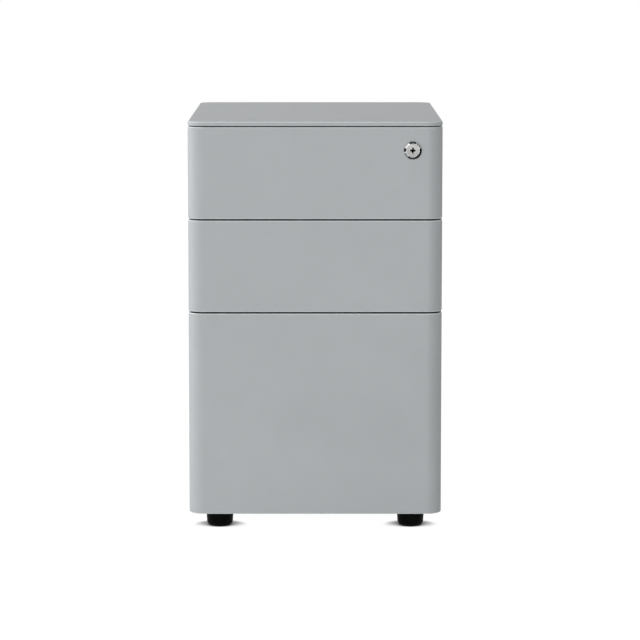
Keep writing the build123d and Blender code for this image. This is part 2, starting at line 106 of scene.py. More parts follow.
@dataclass(frozen=True)
class Ring:
    """One ring of a turned piece: size, level along the axis, and finish of the band after it."""

    radius: float
    level: float
    form: Form = Form.ROUND
    finish: int = 0
    tip_share: float = 0.23
    waist_share: float = 0.36
    stretch: float = 1.0

    def reach(self, angle: float) -> float:
        """Distance from the axis to the outline.

        Args:
            angle: Direction round the axis.

        Returns:
            The distance, in metres.
        """
        if self.form is Form.HEX:
            fold = angle % (math.pi / 3) - math.pi / 6
            return self.radius * math.cos(math.pi / 6) / math.cos(fold)
        if self.form is Form.PLUS:
            across = math.cos(angle) * math.sqrt(self.stretch)
            upward = math.sin(angle) / math.sqrt(self.stretch)
            fold = abs((math.atan2(upward, across) + math.pi / 4) % (math.pi / 2) - math.pi / 4)
            tip = self.radius * self.tip_share
            waist = self.radius * self.waist_share
            over = self.radius * (waist - tip) + tip * (self.radius - waist)
            under = math.cos(fold) * (waist - tip) + math.sin(fold) * (self.radius - waist)
            return min(self.radius / math.cos(fold), over / under) / math.hypot(across, upward)
        return self.radius


def arc(centre: Span, radius: float, start: float, end: float, steps: int) -> List[Ring]:
    """Rings along a rounded edge.

    Args:
        centre: Distance from the axis and level of the round's centre.
        radius: Radius of the round.
        start: First angle in degrees, from the outward direction.
        end: Last angle in degrees.
        steps: Bands along the round.

    Returns:
        The rings in order.
    """
    rings = []
    for step in range(steps + 1):
        angle = math.radians(start + (end - start) * step / steps)
        rings.append(Ring(centre[0] + radius * math.cos(angle), centre[1] + radius * math.sin(angle)))
    return rings


def scaled(profile: Profile, radius: float, rise: float, form: Form = Form.ROUND) -> List[Ring]:
    """Rings of a profile that is given in shares of a radius and a rise."""
    return [Ring(radius * wide, rise * high, form) for wide, high in profile]


def seat(point: Point, way: Point = (0.0, 0.0, 1.0)) -> Matrix:
    """Place of a turned piece: its axis starts at a point and runs along a direction."""
    turn = Vector((0.0, 0.0, 1.0)).rotation_difference(Vector(way))
    return Matrix.Translation(point) @ turn.to_matrix().to_4x4()


class NodeSheet:
    """Adds and joins the nodes of one material, world or group."""

    def __init__(self, tree: Tree) -> None:
        """Keeps the tree that nodes are added to."""
        self.tree = tree

    def add(self, kind: str, inputs: Optional[Dict[Any, Any]] = None, **settings: Any) -> Node:
        """Adds one node.

        Args:
            kind: Blender's name of the node type.
            inputs: Values or source sockets, by input name or number.
            **settings: Attributes of the node, such as its operation.

        Returns:
            The new node.
        """
        node = self.tree.nodes.new(kind)
        for key, value in settings.items():
            setattr(node, key, value)
        for key, value in (inputs or {}).items():
            if isinstance(value, Socket):
                self.tree.links.new(value, node.inputs[key])
            else:
                node.inputs[key].default_value = value
        return node

    def join(self, source: Socket, node: Node, key: str) -> None:
        """Links a socket to an input of a node."""
        self.tree.links.new(source, node.inputs[key])

    def maths(self, operation: str, *values: Any) -> Socket:
        """Result of a Math node on values or sockets."""
        return self.add("ShaderNodeMath", dict(enumerate(values)), operation=operation).outputs[0]

    def remap(self, value: Any, span: Span, into: Tuple[Any, Any]) -> Socket:
        """Value carried from one span to another, held at its ends."""
        inputs = dict(enumerate((value, *span, *into)))
        return self.add("ShaderNodeMapRange", inputs, clamp=True).outputs[0]

    def blend(self, mode: str, factor: Any, first: Any, second: Any) -> Socket:
        """Two colours mixed by a factor."""
        inputs = {0: factor, 6: first, 7: second}
        return self.add("ShaderNodeMix", inputs, data_type="RGBA", blend_type=mode).outputs[2]

    def grey(self, value: Socket) -> Socket:
        """Colour with one value in its three channels."""
        return self.add("ShaderNodeCombineColor", {0: value, 1: value, 2: value}).outputs[0]

    def noise(self, place: Any, scale: Any, detail: float, roughness: float = 0.5) -> Socket:
        """Value of a noise texture at a place."""
        inputs = {"Vector": place, "Scale": scale, "Detail": detail, "Roughness": roughness}
        return self.add("ShaderNodeTexNoise", inputs).outputs[0]

    def place(self, group: Tree, inputs: Dict[str, Any]) -> Node:
        """Places a node group with its values or sources."""
        return self.add("ShaderNodeGroup", inputs, node_tree=group)


def rgba(colour: Colour) -> Tuple[float, float, float, float]:
    """Colour with a full alpha."""
    return (colour[0], colour[1], colour[2], 1.0)


def unlit(name: str) -> Tuple[Material, NodeSheet]:
    """Starts a material without its usual shader.

    Args:
        name: Name of the material.

    Returns:
        The material and its sheet.
    """
    material = bpy.data.materials.new(name)
    material.use_nodes = True
    sheet = NodeSheet(material.node_tree)
    sheet.tree.nodes.remove(sheet.tree.nodes["Principled BSDF"])
    return material, sheet


def settle(mesh: bmesh.types.BMesh, name: str, materials: Sequence[Material]) -> bpy.types.Object:
    """Turns a built mesh into an object of the scene.

    Args:
        mesh: The built mesh, which is freed.
        name: Name of the object.
        materials: Its finishes, by the faces' numbers.

    Returns:
        The new object.
    """
    data = bpy.data.meshes.new(name)
    mesh.to_mesh(data)
    mesh.free()
    for material in materials:
        data.materials.append(material)
    piece = bpy.data.objects.new(name, data)
    bpy.context.scene.collection.objects.link(piece)
    return piece


@dataclass
class Effects:
    """Shader node groups that several finishes share."""

    noise_span: Span = (0.3, 0.7)
    cloud_scale: float = 16.0
    speck_scale: float = 1900.0
    speck_shade: Span = (0.992, 1.008)
    peel_gloss: Span = (0.94, 1.06)
    corner_match: Span = (0.995, 0.85)
    lean_starts: Span = (0.25, 0.5)
    lean_ends: Span = (0.85, 0.97)
    rim_break_noise: Span = (0.35, 0.65)
    rim_break_share: Span = (0.75, 1.0)
    level_span: Span = (0.75, 1.0)
    drift_scale: float = 22.0
    drift_noise: Span = (0.35, 0.75)
    drift_share: Span = (0.2, 1.0)
    drawn_scale: Point = (1.0, 0.02, 1.0)
    stain_scale: float = 40.0
    stain_gloss: Span = (0.85, 1.15)
    open_share: Span = (0.24, 0.56)
    bevel_samples: int = 4
    open_samples: int = 6

    def __post_init__(self) -> None:
        """Makes each group once."""
        self.powder = self._powder()
        self.rim = self._rim()
        self.dust = self._dust()
        self.streaks = self._streaks()
        self.painted_gap_shade = self._painted_gap_shade()

    @staticmethod
    def _group(name: str, inputs: Dict[str, Any], outputs: Sequence[str]) -> Tuple[NodeSheet, Node, Node]:
        """Starts a node group.

        Args:
            name: Name of the group.
            inputs: Default value of each input; four numbers make a colour.
            outputs: Names of the outputs; Colour is a colour, and the others are values.

        Returns:
            The group's sheet, its input node and its output node.
        """
        tree = bpy.data.node_groups.new(name, "ShaderNodeTree")
        for label, value in inputs.items():
            kind = "NodeSocketColor" if isinstance(value, tuple) else "NodeSocketFloat"
            socket = tree.interface.new_socket(name=label, in_out="INPUT", socket_type=kind)
            socket.default_value = value
        for label in outputs:
            kind = "NodeSocketColor" if label == "Colour" else "NodeSocketFloat"
            tree.interface.new_socket(name=label, in_out="OUTPUT", socket_type=kind)
        sheet = NodeSheet(tree)
        return sheet, sheet.add("NodeGroupInput"), sheet.add("NodeGroupOutput")

    def _powder(self) -> Tree:
        """Stoved powder: fine orange peel, cloudy tone and pin-point specks.

        Returns:
            The group, which puts out a colour, a gloss factor and a height.
        """
        inputs = {"Colour": (0.5, 0.5, 0.5, 1.0), "Cloud": 0.02, "Peel Scale": 700.0}
        sheet, source, target = self._group("powder_skin", inputs, ("Colour", "Gloss", "Height"))
        place = sheet.add("ShaderNodeTexCoord").outputs["Object"]
        cloud = sheet.noise(place, self.cloud_scale, detail=4.0, roughness=0.6)
        speck = sheet.noise(place, self.speck_scale, detail=1.0)
        peel = sheet.noise(place, source.outputs["Peel Scale"], detail=2.0, roughness=0.45)
        low = sheet.maths("SUBTRACT", 1.0, source.outputs["Cloud"])
        high = sheet.maths("ADD", 1.0, source.outputs["Cloud"])
        tone = sheet.remap(cloud, self.noise_span, (low, high))
        grain = sheet.remap(speck, self.noise_span, self.speck_shade)
        shade = sheet.grey(sheet.maths("MULTIPLY", tone, grain))
        sheet.join(sheet.blend("MULTIPLY", 1.0, source.outputs["Colour"], shade), target, "Colour")
        sheet.join(sheet.remap(peel, self.noise_span, self.peel_gloss), target, "Gloss")
        sheet.join(peel, target, "Height")
        return sheet.tree

    def _rim(self) -> Tree:
        """Edges and leaning rims made paler: on the powder coat a painted highlight where rims catch the
        light, on the nylon wear where it is scuffed.

        Returns:
            The group, which puts out a mask.
        """
        inputs = {"Reach": 1.0 * MM, "Break": 180.0, "Slope": 0.0}
        sheet, source, target = self._group("rim_highlight_and_wear", inputs, ("Mask",))
        bevel = sheet.add("ShaderNodeBevel", {"Radius": source.outputs["Reach"]}, samples=self.bevel_samples)
        normal = sheet.add("ShaderNodeNewGeometry").outputs["Normal"]
        pair = {0: bevel.outputs[0], 1: normal}
        match = sheet.add("ShaderNodeVectorMath", pair, operation="DOT_PRODUCT").outputs["Value"]
        corner = sheet.remap(match, self.corner_match, UNIT)
        # painted highlight: where Slope is set, faces leaning about halfway between level and upright, such
        # as the chamfers at the gaps, are picked by their slope alone
        upward = sheet.maths("ABSOLUTE", sheet.add("ShaderNodeSeparateXYZ", {0: normal}).outputs[2])
        starts = sheet.remap(upward, self.lean_starts, UNIT)
        ends = sheet.remap(upward, self.lean_ends, (1.0, 0.0))
        leaning = sheet.maths("MULTIPLY", starts, ends)
        edge = sheet.maths("MAXIMUM", corner, sheet.maths("MULTIPLY", leaning, source.outputs["Slope"]))
        place = sheet.add("ShaderNodeTexCoord").outputs["Object"]
        broken = sheet.noise(place, source.outputs["Break"], detail=3.0)
        edge_highlight_and_wear = sheet.remap(broken, self.rim_break_noise, self.rim_break_share)
        sheet.join(sheet.maths("MULTIPLY", edge, edge_highlight_and_wear), target, "Mask")
        return sheet.tree

    def _dust(self) -> Tree:
        """The little dust that lies on level faces.

        Returns:
            The group, which puts out a mask.
        """
        sheet, source, target = self._group("settled_dust", {"Amount": 0.1}, ("Mask",))
        normal = sheet.add("ShaderNodeNewGeometry").outputs["Normal"]
        upward = sheet.add("ShaderNodeSeparateXYZ", {0: normal}).outputs[2]
        level = sheet.remap(upward, self.level_span, UNIT)
        place = sheet.add("ShaderNodeTexCoord").outputs["Object"]
        drift = sheet.noise(place, self.drift_scale, detail=5.0, roughness=0.65)
        patch = sheet.maths("MULTIPLY", level, sheet.remap(drift, self.drift_noise, self.drift_share))
        sheet.join(sheet.maths("MULTIPLY", patch, source.outputs["Amount"]), target, "Mask")
        return sheet.tree

    def _streaks(self) -> Tree:
        """Fine lines of rolled or turned metal, along the depth.

        Returns:
            The group, which puts out a shade, a gloss factor and a height.
        """
        inputs = {"Fine": 900.0, "Tone": 0.08}
        sheet, source, target = self._group("drawn_streaks", inputs, ("Shade", "Gloss", "Height"))
        place = sheet.add("ShaderNodeTexCoord").outputs["Object"]
        drawn = sheet.add("ShaderNodeMapping", {"Vector": place, "Scale": self.drawn_scale}).outputs[0]
        lines = sheet.noise(drawn, source.outputs["Fine"], detail=3.0, roughness=0.6)
        stain = sheet.noise(place, self.stain_scale, detail=3.0)
        low = sheet.maths("SUBTRACT", 1.0, source.outputs["Tone"])
        sheet.join(sheet.remap(lines, self.noise_span, (low, 1.0)), target, "Shade")
        sheet.join(sheet.remap(stain, self.noise_span, self.stain_gloss), target, "Gloss")
        sheet.join(lines, target, "Height")
        return sheet.tree

    def _painted_gap_shade(self) -> Tree:
        """Painted shade in narrow gaps and inner corners: the colour is darkened by an occlusion mask where
        little light gets in.

        Returns:
            The group, which puts out a shade.
        """
        inputs = {"Reach": 7.0 * MM, "Floor": 0.01}
        sheet, source, target = self._group("painted_crevice_shade", inputs, ("Shade",))
        # painted shade: occlusion within the reach darkens the colour, down to Floor
        reach = {"Distance": source.outputs["Reach"]}
        free = sheet.add("ShaderNodeAmbientOcclusion", reach, samples=self.open_samples).outputs["AO"]
        sheet.join(sheet.remap(free, self.open_share, (source.outputs["Floor"], 1.0)), target, "Shade")
        return sheet.tree


@dataclass(frozen=True)
class Finish:
    """What every finish has: a name, a colour and a roughness."""

    name: str
    colour: Colour
    roughness: float

    def start(self) -> Tuple[Material, NodeSheet, Node]:
        """Starts the material.

        Returns:
            The material, its sheet and its Principled BSDF node.
        """
        material = bpy.data.materials.new(self.name)
        material.use_nodes = True
        material.diffuse_color = rgba(self.colour)
        sheet = NodeSheet(material.node_tree)
        return material, sheet, material.node_tree.nodes["Principled BSDF"]

    @staticmethod
    def feed(sheet: NodeSheet, shader: Node, colour: Socket, roughness: Socket, height: Socket,
             depth: float) -> None:
        """Feeds the shader's colour, roughness and normal.

        Args:
            sheet: Sheet of the material.
            shader: The Principled BSDF node.
            colour: Socket with the colour.
            roughness: Socket with the roughness.
            height: Socket with a height from 0 to 1.
            depth: What a height of 1 stands for, in metres.
        """
        bump = sheet.add("ShaderNodeBump", {"Strength": 1.0, "Distance": depth, "Height": height})
        sheet.join(colour, shader, "Base Color")
        sheet.join(roughness, shader, "Roughness")
        sheet.join(bump.outputs[0], shader, "Normal")


@dataclass(frozen=True)
class PowderCoat(Finish):
    """Stoved powder coat on sheet steel, with a painted highlight along its rims and painted shade in its
    gaps and inner corners.
    """

    specular: float = 0.32
    cloud: float = 0.02
    peel: float = 0.012 * MM
    # the paler colour along rims and chamfers is a painted highlight
    rim_highlight_lift: float = 0.8
    rim_highlight_pale: float = 1.8
    dust: float = 0.05
    dust_colour: Colour = (0.55, 0.54, 0.52)
    dust_dull: float = 0.5

    def make(self, effects: Effects) -> Material:
        """The coat's material.

        Args:
            effects: Shared node groups.

        Returns:
            The new material.
        """
        material, sheet, shader = self.start()
        shader.inputs["Specular IOR Level"].default_value = self.specular
        skin = sheet.place(effects.powder, {"Colour": rgba(self.colour), "Cloud": self.cloud})
        # painted highlight: rims and leaning chamfers are mixed towards a paler colour
        rim = sheet.place(effects.rim, {"Slope": 1.0}).outputs["Mask"]
        dust = sheet.place(effects.dust, {"Amount": self.dust}).outputs["Mask"]
        pale = rgba(tuple(min(1.0, c * self.rim_highlight_pale) for c in self.colour))
        edge_highlight_and_wear = sheet.blend("MIX", sheet.maths("MULTIPLY", rim, self.rim_highlight_lift), skin.outputs["Colour"], pale)
        dusty = sheet.blend("MIX", dust, edge_highlight_and_wear, rgba(self.dust_colour))
        # painted shade: gaps and inner corners are darkened by the occlusion mask
        shade = sheet.place(effects.painted_gap_shade, {}).outputs["Shade"]
        colour = sheet.blend("MULTIPLY", 1.0, dusty, sheet.grey(shade))
        gloss = sheet.maths("MULTIPLY", skin.outputs["Gloss"], self.roughness)
        dull = sheet.maths("ADD", gloss, sheet.maths("MULTIPLY", dust, self.dust_dull))
        self.feed(sheet, shader, colour, dull, skin.outputs["Height"], self.peel)
        return material


@dataclass(frozen=True)
class BareMetal(Finish):
    """Plated or plain metal with drawn lines."""

    fine: float = 900.0
    tone: float = 0.1
    depth: float = 0.004 * MM
    dust: float = 0.0
    dust_colour: Colour = (0.4, 0.39, 0.37)

    def make(self, effects: Effects) -> Material:
        """The metal's material.

        Args:
            effects: Shared node groups.

        Returns:
            The new material.
        """
        material, sheet, shader = self.start()
        shader.inputs["Metallic"].default_value = 1.0
        lines = sheet.place(effects.streaks, {"Fine": self.fine, "Tone": self.tone})
        colour = sheet.blend("MULTIPLY", 1.0, rgba(self.colour), sheet.grey(lines.outputs["Shade"]))
        if self.dust:
            dust = sheet.place(effects.dust, {"Amount": self.dust}).outputs["Mask"]
            colour = sheet.blend("MIX", dust, colour, rgba(self.dust_colour))
        gloss = sheet.maths("MULTIPLY", lines.outputs["Gloss"], self.roughness)
        self.feed(sheet, shader, colour, gloss, lines.outputs["Height"], self.depth)
        return material


@dataclass(frozen=True)
class MouldedNylon(Finish):
    """Black moulded plastic with a fine spark-eroded texture."""

    texture: float = 0.02 * MM
    texture_scale: float = 1600.0
    cloud: float = 0.15
    specular: float = 0.03
    scuff_reach: float = 1.2 * MM
    scuff_pale: float = 3.0
    scuff_lift: float = 0.4

    def make(self, effects: Effects) -> Material:
        """The plastic's material.

        Args:
            effects: Shared node groups.

        Returns:
            The new material.
        """
        material, sheet, shader = self.start()
        shader.inputs["Specular IOR Level"].default_value = self.specular
        inputs = {"Colour": rgba(self.colour), "Cloud": self.cloud, "Peel Scale": self.texture_scale}
        skin = sheet.place(effects.powder, inputs)
        rim = sheet.place(effects.rim, {"Reach": self.scuff_reach}).outputs["Mask"]
        pale = rgba(tuple(c * self.scuff_pale for c in self.colour))
        edge_highlight_and_wear = sheet.maths("MULTIPLY", rim, self.scuff_lift)
        colour = sheet.blend("MIX", edge_highlight_and_wear, skin.outputs["Colour"], pale)
        gloss = sheet.maths("MULTIPLY", skin.outputs["Gloss"], self.roughness)
        self.feed(sheet, shader, colour, gloss, skin.outputs["Height"], self.texture)
        return material


@dataclass
class Workshop:
    """Makes finishes and meshes."""

    panel_edge: float = 0.5 * MM
    panel_steps: int = 3
    sheet_edge: float = 0.25 * MM
    weld_reach: float = 0.002 * MM
    flat_angle: float = 0.5
    edge_angle: float = 28.0
    flat_rise: float = 0.001 * MM
    thread_depth: float = 0.55
    thread_crest: Span = (0.45, 0.55)

    def __post_init__(self) -> None:
        """Makes every finish once."""
        effects = Effects()
        self.paint = PowderCoat("light_grey_powder", (0.405, 0.424, 0.434), 0.52).make(effects)
        self.slide = BareMetal("rolled_slide_steel", (0.47, 0.48, 0.49), 0.32, dust=0.05).make(effects)
        self.zinc = BareMetal("zinc_plate", (0.60, 0.61, 0.60), 0.38, fine=500.0, tone=0.16).make(effects)
        self.chrome = BareMetal("bright_chrome", (0.78, 0.79, 0.80), 0.07, tone=0.02).make(effects)
        self.satin = BareMetal("satin_nickel", (0.215, 0.213, 0.21), 0.32, tone=0.06).make(effects)
        self.nylon = MouldedNylon("black_nylon", (0.0016, 0.0016, 0.0018), 0.42).make(effects)
        # painted shade: near-black finish for the keyway walls, standing in for the shade deep in the recess
        self.keyway = MouldedNylon("keyway_painted_shade", (0.002, 0.002, 0.002), 0.8, specular=0.0).make(effects)
        self._skin = self._weld_group()

    def _weld_group(self) -> Tree:
        """Geometry nodes that join the faces of a carried-over node so that its edges can be rounded.

        Returns:
            The group, for a nodes modifier.
        """
        tree = bpy.data.node_groups.new("joined_skin", "GeometryNodeTree")
        for way in ("INPUT", "OUTPUT"):
            tree.interface.new_socket(name="Geometry", in_out=way, socket_type="NodeSocketGeometry")
        sheet = NodeSheet(tree)
        source = sheet.add("NodeGroupInput").outputs[0]
        plain = sheet.add("GeometryNodeRemoveAttribute", {0: source, "Name": "custom_normal"}).outputs[0]
        joined = sheet.add("GeometryNodeMergeByDistance", {0: plain, "Distance": self.weld_reach}).outputs[0]
        smooth = sheet.add("GeometryNodeSetShadeSmooth", {0: joined}).outputs[0]
        sheet.add("NodeGroupOutput", {0: smooth})
        return tree

    def carry(self, node: str, material: Material, edge: float, steps: int = 2) -> None:
        """Dresses a CAD node that stays in view: its finish, and small rounds along its edges.

        Args:
            node: Name of the CAD node.
            material: Its finish.
            edge: Width of the rounds, in metres.
            steps: Facets across a round.
        """
        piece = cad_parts[node]
        piece.data.materials.clear()
        piece.data.materials.append(material)
        piece.modifiers.new("joined", "NODES").node_group = self._skin
        flat = piece.modifiers.new("flat", "DECIMATE")
        flat.decimate_type = "DISSOLVE"
        flat.angle_limit = math.radians(self.flat_angle)
        rounds = piece.modifiers.new("rounds", "BEVEL")
        rounds.limit_method = "ANGLE"
        rounds.angle_limit = math.radians(self.edge_angle)
        rounds.width = edge
        rounds.segments = steps
        shade = piece.modifiers.new("shade", "WEIGHTED_NORMAL")
        shade.keep_sharp = False
        LOG.info("dressed %s", node)

    def turn(self, mesh: bmesh.types.BMesh, rings: Sequence[Ring], place: Matrix, sides: int) -> None:
        """Adds a turned piece to a mesh; a ring of no radius closes it.

        Args:
            mesh: Mesh that it is added to.
            rings: Its rings from one end to the other.
            place: Where its axis stands.
            sides: Facets round the axis.
        """
        rows: List[List[bmesh.types.BMVert]] = []
        for ring in rings:
            count = sides if ring.radius > 0.0 else 1
            row = []
            for step in range(count):
                angle = 2 * math.pi * step / sides
                reach = ring.reach(angle)
                point = Vector((reach * math.cos(angle), reach * math.sin(angle), ring.level))
                row.append(mesh.verts.new(place @ point))
            rows.append(row)
        for ring, after_ring, low, high in zip(rings, rings[1:], rows, rows[1:]):
            curved = abs(ring.level - after_ring.level) > self.flat_rise
            for step in range(sides):
                after = (step + 1) % sides
                corners = [low[step % len(low)], low[after % len(low)],
                           high[after % len(high)], high[step % len(high)]]
                face = mesh.faces.new(list(dict.fromkeys(corners)))
                face.material_index = ring.finish
                face.smooth = curved

    def thread(self, mesh: bmesh.types.BMesh, place: Matrix, radius: float, pitch: float, length: float,
               sides: int) -> None:
        """Adds the ridge of a screw thread to a mesh.

        Args:
            mesh: Mesh that it is added to.
            place: Where its axis stands.
            radius: Radius of the crest.
            pitch: Rise of one turn.
            length: Length of the thread.
            sides: Facets in one turn.
        """
        root = radius - self.thread_depth * pitch
        start, end = (share * pitch for share in self.thread_crest)
        rows = []
        for step in range(int(sides * (length / pitch - 1)) + 1):
            angle = 2 * math.pi * step / sides
            rise = pitch * step / sides
            outline = ((root, rise), (radius, rise + start), (radius, rise + end), (root, rise + pitch))
            row = []
            for reach, level in outline:
                point = Vector((reach * math.cos(angle), reach * math.sin(angle), level))
                row.append(mesh.verts.new(place @ point))
            rows.append(row)
        for low, high in zip(rows, rows[1:]):
            for edge in range(3):
                mesh.faces.new((low[edge], high[edge], high[edge + 1], low[edge + 1]))

    def keep(self, mesh: bmesh.types.BMesh, name: str, body: str, slot: Slot,
             materials: Sequence[Material]) -> bpy.types.Object:
        """Turns a built mesh into a piece that rides on a body.

        Args:
            mesh: The built mesh, in the frame's axes.
            name: Name of the piece.
            body: Body of the record that it moves with.
            slot: Not used.
            materials: Its finishes, by the faces' numbers.

        Returns:
            The new object.
        """
        bmesh.ops.recalc_face_normals(mesh, faces=mesh.faces)
        piece = settle(mesh, name, materials)
        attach(piece, body)
        LOG.info("made %s", name)
        return piece


@dataclass
class Cabinet:
    """Outer panels, base, rail and posts."""

    shop: Workshop
    panels: Tuple[str, ...] = ("top_panel",)
    sheets: Tuple[str, ...] = (
        "side_panel_left", "side_panel_right", "back_panel",
        "base_pan", "base_channel_front", "base_channel_rear", "top_rail",
        "front_post_left", "front_post_right", "rear_post_left", "rear_post_right",
    )

    def build(self) -> None:
        """Dresses every panel and sheet."""
        shop = self.shop
        for node in self.panels:
            shop.carry(node, shop.paint, shop.panel_edge, shop.panel_steps)
        for node in self.sheets:
            shop.carry(node, shop.paint, shop.sheet_edge)


@dataclass
class DrawerUnit:
    """One drawer: front, liner, tray and catch, with its slides."""

    shop: Workshop
    name: DrawerName
    retainer_edge: float = 0.12 * MM
    tray_sheet: float = 1.0 * MM
    slide_sheet: float = 1.2 * MM
    rivet_radius: float = 4.2 * MM
    rivet_rise: float = 1.4 * MM
    rivet_profile: Profile = ((0.0, 1.0), (0.5, 0.9), (0.85, 0.5), (1.0, 0.1), (1.0, 0.0))
    rivet_shares: Tuple[float, ...] = (0.12, 0.5, 0.88)
    rivet_sides: int = 24
    tail_radius: float = 3.4 * MM
    tail_rise: float = 1.1 * MM
    tail_profile: Profile = ((0.0, 1.0), (0.75, 1.0), (1.0, 0.7), (1.0, 0.0))
    screw_radius: float = 4.5 * MM
    screw_rise: float = 2.2 * MM
    screw_profile: Profile = ((0.7, 0.95), (0.92, 0.6), (1.0, 0.15), (1.0, 0.0))
    screw_offset: float = 118.0 * MM
    screw_shares: Tuple[float, ...] = (0.25, 0.75)
    screw_sides: int = 32
    socket_share: float = 0.55
    socket_floor: float = 0.15
    socket_profile: Profile = ((0.6, 0.2), (1.0, 1.0))
    outer_ball: float = 1.75 * MM
    inner_ball: float = 1.45 * MM
    ball_pitch: float = 19.0 * MM
    ball_inset: float = 3.2 * MM
    ball_steps: int = 6
    ball_sides: int = 12
    cage_sheet: float = 0.6 * MM

    def build(self) -> None:
        """Dresses the drawer and its slides, and adds the fasteners and balls."""
        key = self.name.value
        shop = self.shop
        shop.carry(f"{key}_drawer_front", shop.paint, shop.panel_edge, shop.panel_steps)
        for sheet in ("liner", "tray"):
            shop.carry(f"{key}_drawer_{sheet}", shop.paint, shop.sheet_edge)
        shop.carry(f"{key}_drawer_catch", shop.zinc, shop.sheet_edge)
        for row in ("outer", "inner"):
            shop.carry(f"{key}_{row}_retainers", shop.slide, self.retainer_edge)
        for member in ("outer", "middle", "inner"):
            for side in Side:
                shop.carry(f"{key}_slide_{member}_{side.value}", shop.slide, shop.sheet_edge)
        if self.name is DrawerName.FILE:
            shop.carry("file_rails", shop.paint, shop.sheet_edge)
        self._rivets()
        self._screws()
        self._balls("outer", self.outer_ball)
        self._balls("inner", self.inner_ball)

    def _rivets(self) -> None:
        """Rivets that hold the slides to the tray: dome heads inside it and flat tails on the slides."""
        key = self.name.value
        low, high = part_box(f"{key}_drawer_tray")
        slide_low, slide_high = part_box(f"{key}_slide_inner_right")
        level = (slide_low.z + slide_high.z) / 2
        heads = scaled(self.rivet_profile, self.rivet_radius, self.rivet_rise)
        tails = scaled(self.tail_profile, self.tail_radius, self.tail_rise)
        mesh = bmesh.new()
        for side in Side:
            wall = side.sign * (high.x - self.tray_sheet)
            web = side.sign * (slide_low.x + self.slide_sheet)
            for share in self.rivet_shares:
                along = low.y + share * (high.y - low.y)
                inward = seat((wall, along, level), (-side.sign, 0.0, 0.0))
                outward = seat((web, along, level), (side.sign, 0.0, 0.0))
                self.shop.turn(mesh, heads, inward, self.rivet_sides)
                self.shop.turn(mesh, tails, outward, self.rivet_sides)
        self.shop.keep(mesh, f"{key}_tray_rivets", f"{key}_drawer", Slot.ZINC, [self.shop.zinc])

    def _screws(self) -> None:
        """Cross-head screws that hold the front to the tray."""
        key = self.name.value
        low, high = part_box(f"{key}_drawer_tray")
        socket = self.socket_share * self.screw_radius
        rings = [Ring(0.0, self.socket_floor * self.screw_rise)]
        rings += scaled(self.socket_profile, socket, self.screw_rise, Form.PLUS)
        rings += scaled(self.screw_profile, self.screw_radius, self.screw_rise)
        mesh = bmesh.new()
        for side in Side:
            across = side.sign * self.screw_offset
            for share in self.screw_shares:
                point = (across, low.y + self.tray_sheet, low.z + share * (high.z - low.z))
                self.shop.turn(mesh, rings, seat(point, (0.0, 1.0, 0.0)), self.screw_sides)
        self.shop.keep(mesh, f"{key}_front_screws", f"{key}_drawer", Slot.ZINC, [self.shop.zinc])

    def _balls(self, row: str, radius: float) -> None:
        """Balls that run in a pair of retainers.

        Args:
            row: Row of balls, outer or inner.
            radius: Radius of a ball.
        """
        key = self.name.value
        low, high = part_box(f"{key}_{row}_retainers")
        turned = arc((0.0, 0.0), radius, -90.0, 90.0, self.ball_steps)
        rings = [Ring(0.0, -radius), *turned[1:-1], Ring(0.0, radius)]
        count = int((high.y - low.y) / self.ball_pitch)
        start = (low.y + high.y - (count - 1) * self.ball_pitch) / 2
        mesh = bmesh.new()
        for side in Side:
            across = side.sign * (high.x - self.ball_inset)
            for level in (low.z + self.cage_sheet / 2, high.z - self.cage_sheet / 2):
                for number in range(count):
                    point = (across, start + number * self.ball_pitch, level)
                    self.shop.turn(mesh, rings, seat(point), self.ball_sides)
        self.shop.keep(mesh, f"{key}_{row}_balls", f"{key}_{row}_retainers", Slot.SLIDE, [self.shop.slide])


